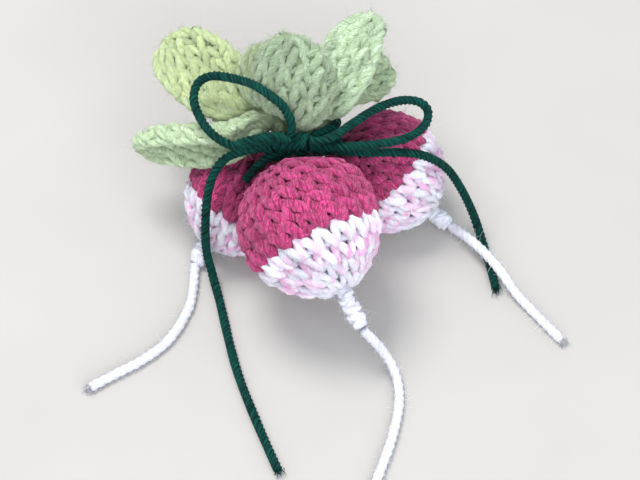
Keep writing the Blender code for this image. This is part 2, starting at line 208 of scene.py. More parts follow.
def stretchedNoise(tree, vector, stretch, detail):
    scaled = addNode(tree, "ShaderNodeVectorMath", operation="MULTIPLY")
    tree.links.new(vector, scaled.inputs[0])
    scaled.inputs[1].default_value = stretch
    noise = addNode(tree, "ShaderNodeTexNoise")
    noise.inputs["Scale"].default_value = 1.0
    noise.inputs["Detail"].default_value = detail
    tree.links.new(scaled.outputs[0], noise.inputs["Vector"])
    return noise.outputs["Fac"]


def rampOf(tree, value, low, high):
    ramp = addNode(tree, "ShaderNodeMapRange", clamp=True)
    ramp.inputs["From Min"].default_value = low
    ramp.inputs["From Max"].default_value = high
    tree.links.new(value, ramp.inputs["Value"])
    return ramp.outputs["Result"]


def yarnColour(tree, look, bundles, hairs, cloud, tint):
    # Deep and light bundles, patches of pink, painted shade between the hairs, then the stitch's tone
    # and the painted shade of how deep it is sunk.
    parts = addNode(tree, "ShaderNodeSeparateXYZ")
    tree.links.new(tint, parts.inputs[0])
    toneShare, pinkShare, paintedShadeShare = parts.outputs
    bright = rampOf(tree, bundles, *yarnSurface["bundleRange"])
    colour = mixColours(tree, bright, look["deep"], look["light"])
    pinkness = addNode(tree, "ShaderNodeMath", operation="MULTIPLY")
    tree.links.new(pinkShare, pinkness.inputs[0])
    tree.links.new(rampOf(tree, cloud, *look["patches"]), pinkness.inputs[1])
    colour = mixColours(tree, pinkness.outputs[0], colour, look["pink"])
    between = rampOf(tree, hairs, *yarnSurface["hairRange"])
    darker = mixColours(tree, between, (look["hairs"],) * 3, (1.0, 1.0, 1.0))
    colour = mixColours(tree, 1.0, colour, darker, "MULTIPLY")
    tone = addNode(tree, "ShaderNodeCombineColor")
    for socket in tone.inputs:
        tree.links.new(toneShare, socket)
    colour = mixColours(tree, 1.0, colour, tone.outputs[0], "MULTIPLY")
    # Painted shade: the colour goes toward the sunk colour as far as the strand lies deep.
    return mixColours(tree, paintedShadeShare, colour, look["sunk"])


def yarnRelief(tree, shader, bundles, hairs):
    rough = addNode(tree, "ShaderNodeMapRange")
    rough.inputs["To Min"].default_value, rough.inputs["To Max"].default_value = yarnSurface["roughness"]
    tree.links.new(hairs, rough.inputs["Value"])
    tree.links.new(rough.outputs["Result"], shader.inputs["Roughness"])
    relief = addNode(tree, "ShaderNodeMath", operation="ADD")
    tree.links.new(bundles, relief.inputs[0])
    tree.links.new(hairs, relief.inputs[1])
    bump = addNode(tree, "ShaderNodeBump")
    bump.inputs["Strength"].default_value = yarnSurface["bump"]
    bump.inputs["Distance"].default_value = yarnSurface["bumpDepth"] * mm
    tree.links.new(relief.outputs[0], bump.inputs["Height"])
    tree.links.new(bump.outputs["Normal"], shader.inputs["Normal"])


def yarnMaterial(look):
    paint = bpy.data.materials.new(look["name"])
    paint.use_nodes = True
    tree = paint.node_tree
    shader = tree.nodes["Principled BSDF"]
    fibre = addNode(tree, "ShaderNodeAttribute", attribute_name="fibre").outputs["Vector"]
    tint = addNode(tree, "ShaderNodeAttribute", attribute_name="tint").outputs["Vector"]
    bundles = stretchedNoise(tree, fibre, yarnSurface["bundles"], 2.0)
    hairs = stretchedNoise(tree, fibre, yarnSurface["hairs"], 3.0)
    cloud = stretchedNoise(tree, fibre, yarnSurface["cloud"], 1.0)
    colour = yarnColour(tree, look, bundles, hairs, cloud, tint)
    tree.links.new(colour, shader.inputs["Base Color"])
    yarnRelief(tree, shader, bundles, hairs)
    shader.inputs["Specular IOR Level"].default_value = look["specular"]
    shader.inputs["Sheen Weight"].default_value = look["sheenWeight"]
    shader.inputs["Sheen Roughness"].default_value = yarnSurface["sheenRoughness"]
    shader.inputs["Sheen Tint"].default_value = (*look["sheen"], 1.0)
    look["material"] = paint


for look in (magentaYarn, whiteYarn, leafYarn, greenYarn):
    yarnMaterial(look)
print("yarn materials are mixed")


# Yarn as geometry: a bundle of twisted plies swept along each path

# Twist is the mm for a whole turn, depth how far the plies stand out, and the groove shade
# is how much painted shade goes down between them.
smooth = {"sides": 3, "plies": 1, "depth": 0.0, "twist": 1000.0, "groove": 0.0}
strandShade = {
    "from": 0.2,            # how far down between two plies the painted shade starts
    "apart": 37.0,          # mm between two strands' places in the noise
}
finePerPoint = 40           # steps of the curve through a route's points


def splineThrough(points, steps):
    # Catmull-Rom curve through the points, at the given positions counted in points.
    points = np.asarray(points, float)
    last = len(points) - 1
    before = np.vstack((2 * points[0] - points[1], points, 2 * points[-1] - points[-2]))
    whole = np.minimum(steps.astype(int), last - 1)
    t = (steps - whole)[:, None]
    p0, p1, p2, p3 = (before[whole + k] for k in range(4))
    return 0.5 * (2 * p1 + (p2 - p0) * t + (2 * p0 - 5 * p1 + 4 * p2 - p3) * t ** 2
                  + (3 * p1 - p0 - 3 * p2 + p3) * t ** 3)


def evenRoute(points, spacing):
    fine = splineThrough(points, np.linspace(0, len(points) - 1, finePerPoint * len(points)))
    reach = np.concatenate(([0.0], np.cumsum(np.linalg.norm(np.diff(fine, axis=0), axis=1))))
    goals = np.linspace(0, reach[-1], max(3, round(reach[-1] / spacing) + 1))
    return np.column_stack([np.interp(goals, reach, fine[:, k]) for k in range(3)])


def sweepStrands(paths, ups, wide, high, twist, starts):
    # paths and ups are (strand, step, xyz); wide and high are half sizes for each step.
    sides = twist["sides"]
    count, steps = paths.shape[:2]
    along = unit(np.gradient(paths, axis=1))
    side = unit(np.cross(along, ups))
    out = np.cross(side, along)
    pace = np.linalg.norm(np.diff(paths, axis=1), axis=2)
    run = np.concatenate((np.zeros((count, 1)), np.cumsum(pace, axis=1)), axis=1)
    around = 2 * np.pi * np.arange(sides) / sides
    turned = around + 2 * np.pi * (run[..., None] + starts[:, None, None]) / twist["twist"]
    ply = np.cos(twist["plies"] * turned)
    lobe = 1 + twist["depth"] * ply
    across = np.cos(around) * lobe * np.broadcast_to(wide, (count, steps))[..., None]
    upward = np.sin(around) * lobe * np.broadcast_to(high, (count, steps))[..., None]
    points = paths[:, :, None] + side[:, :, None] * across[..., None] + out[:, :, None] * upward[..., None]
    inNoise = run[..., None] + strandShade["apart"] * starts[:, None, None]
    fibre = np.stack((np.cos(turned), np.sin(turned), np.broadcast_to(inNoise, turned.shape)), axis=-1)
    grid = np.arange(count * steps * sides).reshape(count, steps, sides)
    following = np.roll(grid, -1, 2)
    quads = np.stack((grid[:, :-1], following[:, :-1], following[:, 1:], grid[:, 1:]), -1)
    ends = np.concatenate((grid[:, 0, ::-1], grid[:, -1]))
    outward = unit(points - paths[:, :, None])
    tint = np.tile((1.0, 0.0, 0.0), (points.size // 3, 1))
    # Painted shade down in the grooves between the plies, kept as the tint's third value.
    tint[:, 2] = twist["groove"] * np.clip(-strandShade["from"] - ply, 0, 1).ravel()
    return {"points": points.reshape(-1, 3), "quads": quads.reshape(-1, 4), "ends": ends,
            "outward": outward.reshape(-1, 3), "fibre": fibre.reshape(-1, 3), "tint": tint}


def joinParts(parts):
    joined = {"quads": [], "ends": []}
    first = 0
    for part in parts:
        joined["quads"].append(part["quads"] + first)
        joined["ends"].extend(end + first for end in part["ends"])
        first += len(part["points"])
    joined["quads"] = np.concatenate(joined["quads"])
    for name in ("points", "outward", "fibre", "tint"):
        joined[name] = np.concatenate([part[name] for part in parts])
    return joined


def makePiece(name, part, look, *nodes):
    ends = [list(end) for end in part["ends"]]
    corners = np.concatenate((part["quads"].ravel(), *ends))
    sizes = np.array([4] * len(part["quads"]) + [len(end) for end in ends])
    data = bpy.data.meshes.new(name)
    data.vertices.add(len(part["points"]))
    data.vertices.foreach_set("co", toMetres(part["points"]).ravel())
    data.loops.add(len(corners))
    data.loops.foreach_set("vertex_index", corners.astype(np.int32))
    data.polygons.add(len(sizes))
    data.polygons.foreach_set("loop_start", (np.cumsum(sizes) - sizes).astype(np.int32))
    data.update(calc_edges=True)
    data.shade_smooth()
    for label in ("fibre", "tint"):
        kept = data.attributes.new(label, "FLOAT_VECTOR", "POINT")
        kept.data.foreach_set("vector", part[label].ravel())
    data.materials.append(look["material"])
    piece = bpy.data.objects.new(name, data)
    bpy.context.scene.collection.objects.link(piece)
    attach(piece, "root")
    if nodes:
        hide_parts(*nodes)
    return piece


# Fuzz: thin fibres that stand out of the yarn

fuzzy = {
    "bodies": {"amount": 3000, "length": 1.0, "radius": 0.036, "spread": 0.85, "curl": 0.85},
    "leaves": {"amount": 3000, "length": 1.35, "radius": 0.036, "spread": 0.85, "curl": 0.85},
    "rootYarn": {"amount": 450, "length": 0.9, "radius": 0.034, "spread": 0.85, "curl": 0.80},
    "tieYarn": {"amount": 160, "length": 0.8, "radius": 0.026, "spread": 0.85, "curl": 0.80},
}
fibreShape = {
    "steps": 6, "wave": 0.12, "waves": 5.0, "taper": 0.6,
    "lengthSpread": 0.38, "lengthRange": (0.3, 3.2),
    "mostPaintedShade": 0.3,        # none grows where the yarn has more painted shade than this
    "tone": 1.4,
}
frayed = {      # a cut end
    "amount": 46, "length": 2.0, "radius": 0.13, "spread": 0.30, "curl": 0.25,
    "spots": 0.45, "inside": 0.4, "shortest": 0.4,
}


def fibres(start, way, length, radius, curl):
    count = len(start)
    t = np.linspace(0, 1, fibreShape["steps"])[None, :, None]
    bend = unit(rng.normal(0, 1, (count, 1, 3)))
    wave = unit(rng.normal(0, 1, (count, 1, 3)))
    reach = length[:, None, None]
    paths = start[:, None] + way[:, None] * reach * t + bend * reach * curl * t ** 2
    paths += wave * reach * fibreShape["wave"] * np.sin(fibreShape["waves"] * t)
    paths[..., 2] = np.maximum(paths[..., 2], radius + floorGap["fibre"])
    ups = np.broadcast_to(unit(np.cross(way, rng.normal(0, 1, (count, 3))))[:, None], paths.shape)
    thin = radius * (1.0 - fibreShape["taper"] * t[..., 0])
    return sweepStrands(paths, ups, thin, thin, smooth, rng.uniform(0, 9, count))


def fuzzOn(part, kind):
    setup = fuzzy[kind]
    free = np.flatnonzero(part["tint"][:, 2] < fibreShape["mostPaintedShade"])
    roots = rng.choice(free, setup["amount"])
    way = unit(part["outward"][roots] + rng.normal(0, setup["spread"], (len(roots), 3)))
    length = rng.lognormal(math.log(setup["length"]), fibreShape["lengthSpread"], len(roots))
    length = np.clip(length, *fibreShape["lengthRange"])
    hairs = fibres(part["points"][roots], way, length, setup["radius"], setup["curl"])
    count = len(hairs["points"])
    pinkness = np.repeat(part["tint"][roots, 1], count // len(roots))
    hairs["tint"] = np.column_stack((np.full(count, fibreShape["tone"]), pinkness, np.zeros(count)))
    return hairs


def frayedEnd(end, way, radius):
    spots = rng.normal(0, frayed["spots"] * radius, (frayed["amount"], 3))
    ways = unit(way + rng.normal(0, frayed["spread"], spots.shape))
    length = rng.uniform(frayed["shortest"], 1.0, len(spots)) * frayed["length"]
    return fibres(end + spots - way * frayed["inside"], ways, length, frayed["radius"], frayed["curl"])


def makeFuzz(name, parts, look):
    part = joinParts(parts)
    part["points"][:, 2] = np.maximum(part["points"][:, 2], floorGap["fuzz"])
    return makePiece(name, part, look)


# Loose yarn: the root tails and the bow

rootYarn = {
    "diameter": 2.3, "step": 0.5, "look": whiteYarn, "kind": "rootYarn",
    "twist": {"sides": 20, "plies": 3, "depth": 0.15, "twist": 6.2, "groove": 0.85},
}
tieYarn = {
    "diameter": 2.1, "step": 0.35, "look": greenYarn, "kind": "tieYarn",
    "twist": {"sides": 28, "plies": 4, "depth": 0.20, "twist": 5.3, "groove": 1.10},
}
looseYarn = {"firstUp": (0.31, 0.87, 0.38), "swell": 0.025, "swellWay": (0.9, 0.7, 0.4), "lastRing": 0.8}
looseRoutes = {
    "front_root_tail": [
        (10.8, -38.3, 14.0), (12.9, -39.0, 11.5), (15.5, -39.8, 7.6), (18.1, -41.8, 3.8), (19.8, -46.0, 1.5),
        (20.0, -52.5, 1.25), (18.3, -61.4, 1.25), (15.7, -69.8, 1.25), (12.6, -78.7, 1.25),
    ],
    "left_root_tail": [
        (-32.8, -9.2, 1.7), (-32.9, -11.8, 1.45), (-33.1, -16.2, 1.25), (-34.2, -23.0, 1.25),
        (-38.6, -32.2, 1.25), (-44.8, -38.4, 1.25), (-52.0, -43.1, 1.25), (-58.5, -47.3, 1.25),
    ],
    "right_root_tail": [
        (34.7, 2.9, 2.1), (36.5, 0.8, 3.0), (39.3, -3.0, 4.6), (43.4, -8.2, 5.2), (47.0, -13.4, 4.8),
        (51.2, -18.9, 2.1), (57.0, -26.1, 1.25), (62.3, -32.9, 1.25),
    ],
    "bow_loop_left": [
        (-7.3, 0.6, 44.6), (-7.3, 1.7, 48.0), (-9.0, 3.4, 51.5), (-12.2, 5.0, 54.2), (-16.8, 8.8, 54.2),
        (-22.2, 13.5, 51.0), (-27.4, 16.2, 48.6), (-31.0, 15.3, 46.8), (-32.0, 11.2, 45.2),
        (-30.4, 6.6, 43.8), (-27.6, 2.2, 43.2), (-23.7, -0.9, 42.8), (-19.7, -1.9, 42.5),
        (-15.0, -0.8, 42.4), (-11.9, 0.2, 42.2),
    ],
    "bow_loop_right": [
        (-2.6, -0.2, 43.0), (-0.5, -0.4, 42.8), (3.8, 2.1, 42.0), (8.9, 7.3, 41.0), (14.9, 13.1, 39.5),
        (20.6, 17.0, 37.6), (25.3, 18.0, 36.0), (27.8, 16.0, 35.0), (27.2, 11.6, 34.9), (23.6, 7.3, 35.4),
        (18.0, 4.4, 36.4), (10.7, 2.3, 37.6), (3.8, 0.8, 39.0), (-0.5, 0.1, 39.8), (-2.6, -0.3, 39.9),
    ],
    "bow_tail_left": [
        (-12.1, 0.3, 39.1), (-15.0, 0.6, 38.8), (-20.3, 0.1, 37.8), (-24.4, -1.0, 36.0), (-27.2, -3.1, 32.4),
        (-28.8, -6.4, 27.4), (-29.5, -9.8, 19.8), (-29.5, -10.9, 9.8), (-28.1, -13.3, 2.9),
        (-26.0, -21.0, 1.25), (-22.9, -35.3, 1.15), (-20.1, -45.7, 1.15), (-15.4, -58.9, 1.15),
        (-10.4, -71.7, 1.15),
    ],
    "bow_tail_right": [
        (-0.6, 1.8, 36.6), (6.4, 2.5, 34.9), (13.3, 3.4, 33.3), (20.5, 4.6, 31.8), (27.1, 5.6, 29.0),
        (32.7, 5.6, 24.0), (36.9, 5.2, 15.6), (40.4, 3.2, 7.2), (42.8, -1.6, 2.2), (44.7, -8.8, 1.15),
        (46.0, -16.5, 1.15),
    ],
}


def strandAlong(route, yarn, start=0.0):
    path = evenRoute(route, yarn["step"])
    # A steady up direction keeps the strand from rolling where it turns.
    along = unit(np.gradient(path, axis=0))
    ups = np.empty_like(path)
    ups[0] = unit(np.cross(along[0], looseYarn["firstUp"]))
    for k in range(1, len(path)):
        ups[k] = unit(ups[k - 1] - along[k] * np.dot(ups[k - 1], along[k]))
    swell = 1.0 + looseYarn["swell"] * np.sin(path @ looseYarn["swellWay"] + start)
    radius = yarn["diameter"] / 2 * swell
    radius[-1] *= looseYarn["lastRing"]
    return path, sweepStrands(path[None], ups[None], radius, radius, yarn["twist"], np.array([start]))


def layYarn(name, route, yarn):
    path, part = strandAlong(route, yarn, rng.uniform(0, 9))
    part["points"][:, 2] = np.maximum(part["points"][:, 2], floorGap["yarn"])
    piece = makePiece(f"{name}_yarn", part, yarn["look"], name)
    hairs = [fuzzOn(part, yarn["kind"])]
    if "tail" in name:
        hairs.append(frayedEnd(path[-1], unit(path[-1] - path[-3]), yarn["diameter"] / 2))
    fuzz = makeFuzz(f"{name}_fuzz", hairs, yarn["look"])


for name, route in looseRoutes.items():
    layYarn(name, route, rootYarn if name.endswith("root_tail") else tieYarn)
print("loose yarn is laid")


# Crochet stitches: each is a V of two legs with the top loop that the next round is worked into

# A leg's places are across the stitch, along it (0 at the last round, 1 at the next)
# and out of the fabric in mm.
stitch = {
    "hand": -1.0,           # the V leans this way round the body
    "lean": 0.25,
    "jitter": 0.055, "riseJitter": 0.14, "widthRange": (0.92, 1.08),
    "toneSpread": 0.12, "toneRange": (0.75, 1.2),
    "steps": 11,
    "roundness": 0.88,
    "endAngle": 0.2, "endPower": 0.35,      # how a leg narrows at its ends
    # Painted shade where a leg dips under the fabric: where it starts, its most, and the most with the ply
    # grooves.
    "shadeFrom": 0.15, "shadeMost": 0.85, "darkest": 0.9,
    "legs": [
        {"fat": 1.12,
         "route": [(-0.06, -0.30, -1.5), (-0.03, -0.12, -0.7), (0.06, 0.14, 0.35), (0.18, 0.42, 0.95),
                   (0.31, 0.72, 1.15), (0.40, 0.98, 0.9), (0.44, 1.16, 0.1), (0.44, 1.24, -1.0)]},
        {"fat": 0.95,
         "route": [(-0.08, -0.28, -1.6), (-0.12, -0.10, -0.8), (-0.20, 0.16, 0.1), (-0.28, 0.42, 0.6),
                   (-0.35, 0.70, 0.8), (-0.39, 0.94, 0.55), (-0.39, 1.12, -0.1), (-0.38, 1.20, -1.1)]},
        {"fat": 0.75,
         "route": [(-0.55, 0.98, -1.1), (-0.36, 0.92, -0.5), (-0.10, 0.92, -0.1), (0.16, 0.96, -0.1),
                   (0.40, 1.02, -0.4), (0.58, 1.06, -1.1)]},
    ],
}
plied = {"sides": 13, "plies": 3, "depth": 0.17, "twist": 6.5, "groove": 0.45}


def stitchRound(place, count, size, lift, pinkness=0.0, tone=1.0):
    # place(across in stitches, along in rounds) gives the fabric's surface and the way out of it.
    spots = np.arange(count)[:, None]
    steps, sides = stitch["steps"], plied["sides"]
    wander = rng.normal(0, stitch["jitter"], (2, count, 1))
    tones = tone * np.clip(rng.normal(1.0, stitch["toneSpread"], count), *stitch["toneRange"])
    ends = np.sin(np.linspace(stitch["endAngle"], math.pi - stitch["endAngle"], steps)) ** stitch["endPower"]
    parts = []
    for leg in stitch["legs"]:
        line = splineThrough(leg["route"], np.linspace(0, len(leg["route"]) - 1, steps))
        u = spots + stitch["hand"] * (line[:, 0] + stitch["lean"] * line[:, 1]) + wander[0]
        v = line[:, 1] + wander[1]
        base, out = place(u, v)
        rise = lift * (line[:, 2] + rng.normal(0, stitch["riseJitter"], (count, 1)))
        wide = size * leg["fat"] * ends * rng.uniform(*stitch["widthRange"], (count, 1))
        part = sweepStrands(base + out * rise[..., None], out, wide, stitch["roundness"] * wide, plied,
                            rng.uniform(0, 9, count))
        # Painted shade where the leg dips under the fabric, on top of the painted shade between its plies.
        sunk = np.clip(-line[:, 2] - stitch["shadeFrom"], 0, stitch["shadeMost"])
        sunk = np.minimum(np.tile(np.repeat(sunk, sides), count) + part["tint"][:, 2], stitch["darkest"])
        part["tint"] = np.column_stack((np.repeat(tones, steps * sides), np.full(len(sunk), pinkness), sunk))
        parts.append(part)
    return joinParts(parts)


# Stuffed bodies: rounds of stitches from the crown to the root tip

bodies = {
    "front": {
        "centre": (-3.0, -15.0, 28.4), "rootWay": (0.43, -0.80, -0.375), "radius": 18.0,
        "stitches": 20, "magentaRounds": 7, "knotEnd": (10.2, -37.6, 15.2), "knotRadius": 2.4,
        "tiePress": {"way": (0.05, 0.80, 0.60), "reach": 16.6},
    },
    "left": {
        "centre": (-19.9, 4.4, 13.4), "rootWay": (-0.608, -0.500, -0.611), "radius": 15.0,
        "stitches": 18, "magentaRounds": 7, "knotEnd": (-32.7, -8.4, 1.8), "knotRadius": 2.3,
    },
    "right": {
        "centre": (16.3, 12.1, 14.7), "rootWay": (0.735, -0.264, -0.625), "radius": 16.2,
        "stitches": 20, "magentaRounds": 6, "knotEnd": (33.9, 3.6, 1.9), "knotRadius": 2.3,
    },
}
fabric = {
    # Stitches in each round, as shares of the most, and how variegated each white round is.
    "counts": (0.30, 0.60, 0.85, 1, 1, 1, 1, 1, 0.90, 0.75, 0.50, 0.30),
    "pinkRounds": (0.55, 1.0, 0.60, 0.15, 0.0, 0.0),
    "crownLength": 0.97, "tipLength": 1.17, "tipTaper": 1.2,
    "sunk": 1.75,           # the strands' middle surface lies this far inside the CAD surface
    "core": 2.6,            # and the closed fabric under them this far
    "coreRings": 22, "coreSides": 40,
    "poleGap": 0.02,        # radians that the surface stops short of each pole
    "strand": 1.20,         # half the width of a strand in a stitch of full width
    "fullWidth": 5.2, "widthShare": (0.5, 1.08),
    "stagger": 0.35,
    "apart": 0.15,          # half the gap between two bodies
    "fill": 0.9,
}
# Each turn of a root knot: how far along it, its tilt in mm and the angle where that starts.
lump = {
    "longFrom": 5.0, "long": [(0.22, 0.9, 0.4), (0.52, -0.8, 1.9), (0.80, 0.8, 3.0)],
    "short": [(0.35, 0.7, 0.4), (0.75, -0.6, 1.9)],
    "yarn": 0.50, "middle": 0.74,           # as shares of the knot's radius
    "up": (0.2, 0.3, 0.9), "halfTurns": 2.15, "turnSteps": 40,
    "middleReach": (-0.1, 1.05), "middleSteps": 14,
}


def turnTo(way):
    return np.array(Vector((0, 0, 1)).rotation_difference(Vector(way)).to_matrix())


def eggPoint(body, around, along, depth):
    radius = body["radius"] - depth
    along = np.clip(along, fabric["poleGap"], math.pi - fabric["poleGap"])
    sine = np.sin(along)
    crown = along < math.pi / 2
    out = radius * np.where(crown, sine, sine ** fabric["tipTaper"])
    length = np.where(crown, fabric["crownLength"], fabric["tipLength"])
    local = np.stack((out * np.cos(around), out * np.sin(around), -length * radius * np.cos(along)), -1)
    return np.array(body["centre"]) + local @ turnTo(body["rootWay"]).T


def contactPlanes(name):
    # Where the floor, the tie and the other bodies press a body flat: a point and the way out.
    body = bodies[name]
    centre = np.array(body["centre"])
    planes = [(np.zeros(3), np.array((0.0, 0.0, -1.0)))]
    if "tiePress" in body:
        way = unit(np.array(body["tiePress"]["way"]))
        planes.append((centre + way * body["tiePress"]["reach"], way))
    for otherName, other in bodies.items():
        if otherName != name:
            across = np.array(other["centre"]) - centre
            share = body["radius"] / (body["radius"] + other["radius"])
            planes.append((centre + across * share - unit(across) * fabric["apart"], unit(across)))
    return planes


def pressFlat(points, planes, depth=0.0):
    for place, way in planes:
        past = (points - place) @ way + depth
        points = points - np.maximum(past, 0.0)[..., None] * way
    return points


def eggSurface(name, around, along, depth):
    # Points on the pressed body and the way out of it there.
    body = bodies[name]
    small = 0.01
    points = eggPoint(body, around, along, depth)
    ahead = eggPoint(body, around, along + small, depth) - eggPoint(body, around, along - small, depth)
    turn = eggPoint(body, around + small, along, depth) - eggPoint(body, around - small, along, depth)
    return pressFlat(points, contactPlanes(name), depth), unit(np.cross(turn, ahead))


def closedGrid(points, pinkness):
    # A closed surface through rings of points, capped at both ends.
    grid = np.arange(points.shape[0] * points.shape[1]).reshape(points.shape[:2])
    following = np.roll(grid, -1, 1)
    quads = np.stack((grid[:-1], following[:-1], following[1:], grid[1:]), -1).reshape(-1, 4)
    flat = points.reshape(-1, 3)
    outward = unit(flat - flat.mean(axis=0))
    # The tint's third value of 1.0 paints the whole surface in the painted shade colour.
    return {"points": flat, "quads": quads, "ends": np.array([grid[0, ::-1], grid[-1]]), "outward": outward,
            "fibre": flat * 0.5, "tint": np.tile((1.0, pinkness, 1.0), (len(flat), 1))}


def fabricCore(name, first, last):
    # The closed fabric under the stitches, from one place along the body to another, coloured wholly in
    # painted shade to darken the gaps.
    around = 2 * math.pi * np.arange(fabric["coreSides"]) / fabric["coreSides"]
    rings = np.linspace(first, last, fabric["coreRings"])
    points, _ = eggSurface(name, *np.meshgrid(around, rings), fabric["core"])
    return closedGrid(points, 0.0)


def bodyRound(name, number, shift):
    body = bodies[name]
    step = math.pi / len(fabric["counts"])
    count = round(fabric["counts"][number] * body["stitches"])
    rim = eggPoint(body, np.array([0.0, math.pi]), np.full(2, step * (number + 0.5)), 0.0)
    width = math.pi * np.linalg.norm(rim[0] - rim[1]) / count
    least, most = fabric["widthShare"]
    size = fabric["strand"] * min(most, max(least, width / fabric["fullWidth"]))

    def place(u, v):
        return eggSurface(name, 2 * math.pi * (u + shift) / count, step * (number + v), fabric["sunk"])
    white = number - body["magentaRounds"]
    pinkness = fabric["pinkRounds"][white] if white >= 0 else 0.0
    return stitchRound(place, count, size, size / fabric["strand"], pinkness)


def rootLump(name):
    # Knotted yarn between the last round and the loose end: slack tilted turns over a thick middle.
    body = bodies[name]
    start = eggPoint(body, np.array([0.0]), np.array([math.pi]), fabric["sunk"])[0]
    end = np.array(body["knotEnd"])
    way = unit(end - start)
    length = np.linalg.norm(end - start)
    side = unit(np.cross(way, lump["up"]))
    front = np.cross(side, way)
    angle = np.linspace(0, lump["halfTurns"] * math.pi, lump["turnSteps"])[:, None]
    up = side * np.cos(angle) + front * np.sin(angle)
    yarn = lump["yarn"] * body["knotRadius"]
    spots = lump["long"] if length > lump["longFrom"] else lump["short"]
    parts = []
    for along, tilt, phase in spots:
        path = start + way * length * along + (body["knotRadius"] - yarn) * up
        path = path + way * tilt * np.cos(angle + phase)
        size = np.full(len(path), yarn)
        parts.append(sweepStrands(path[None], up[None], size, size, rootYarn["twist"], np.array([along])))
    steps = lump["middleSteps"]
    middle = start + way * length * np.linspace(*lump["middleReach"], steps)[:, None]
    thick = np.full(steps, lump["middle"] * body["knotRadius"])
    parts.append(sweepStrands(middle[None], np.tile(side, (1, steps, 1)), thick, thick, rootYarn["twist"],
                              np.array([0.0])))
    return joinParts(parts)


def makeBody(name):
    planes = contactPlanes(name)
    magentaRounds = bodies[name]["magentaRounds"]
    rounds = len(fabric["counts"])
    halves = {"crown": [], "root": []}
    shift = rng.uniform(0, 1)
    for number in range(rounds):
        halves["crown" if number < magentaRounds else "root"].append(bodyRound(name, number, shift))
        shift += stitch["hand"] * fabric["stagger"]
    border = math.pi / rounds * magentaRounds
    halves["crown"].append(fabricCore(name, fabric["poleGap"], border))
    halves["root"] += [fabricCore(name, border, math.pi - fabric["poleGap"]), rootLump(name)]
    for half, parts in halves.items():
        look = magentaYarn if half == "crown" else whiteYarn
        part = joinParts(parts)
        part["points"] = pressFlat(part["points"], planes)
        piece = makePiece(f"{name}_{half}_stitches", part, look, f"{name}_{half}_fabric")
        makeFuzz(f"{name}_{half}_fuzz", [fuzzOn(part, "bodies")], look)


for name in bodies:
    makeBody(name)
print("bodies are crocheted")


# The fibre filling inside the bodies

filling = {
    "deep": (0.62, 0.61, 0.58), "light": (0.90, 0.89, 0.87), "range": (0.32, 0.66), "scale": 900.0,
    "roughness": 0.95, "bump": 0.8, "bumpDepth": 0.5,
}


def fillingMaterial():
    paint = bpy.data.materials.new("fibre filling")
    paint.use_nodes = True
    tree = paint.node_tree
    shader = tree.nodes["Principled BSDF"]
    place = addNode(tree, "ShaderNodeTexCoord").outputs["Object"]
    tufts = stretchedNoise(tree, place, (filling["scale"],) * 3, 4.0)
    colour = mixColours(tree, rampOf(tree, tufts, *filling["range"]), filling["deep"], filling["light"])
    tree.links.new(colour, shader.inputs["Base Color"])
    bump = addNode(tree, "ShaderNodeBump")
    bump.inputs["Strength"].default_value = filling["bump"]
    bump.inputs["Distance"].default_value = filling["bumpDepth"] * mm
    tree.links.new(tufts, bump.inputs["Height"])
    tree.links.new(bump.outputs["Normal"], shader.inputs["Normal"])
    shader.inputs["Roughness"].default_value = filling["roughness"]
    return paint


filling["material"] = fillingMaterial()
for name in bodies:
    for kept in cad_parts[f"{name}_stuffing"].material_slots:
        kept.material = filling["material"]
print("the filling has its finish")


# Leaves: flat crochet, gathered to a neck in the tie

tie = {
    "centre": (-5.0, 9.5, 33.7), "way": (-0.29, 0.62, 0.73), "right": (0.955, 0.241, 0.175),
    # Each turn: from and to in degrees, its radius, and how far through the tie it starts and ends.
    "turns": [((135.0, 437.0), 9.7, (0.0, 0.0)), ((-30.0, 210.0), 9.1, (-2.7, -3.2)),
              ((-40.0, 125.0), 8.6, (-5.0, -5.0))],
    "turnPoints": 17,
    # The short strand that comes out under the knot.
    "lead": [(-6.3, 0.9, 38.6), (-10.2, 0.2, 37.9), (-13.2, -0.6, 36.4), (-15.8, -1.2, 33.8),
             (-18.0, -1.5, 30.4), (-19.0, -1.3, 28.0)],
    "leadStart": 5.0,
}
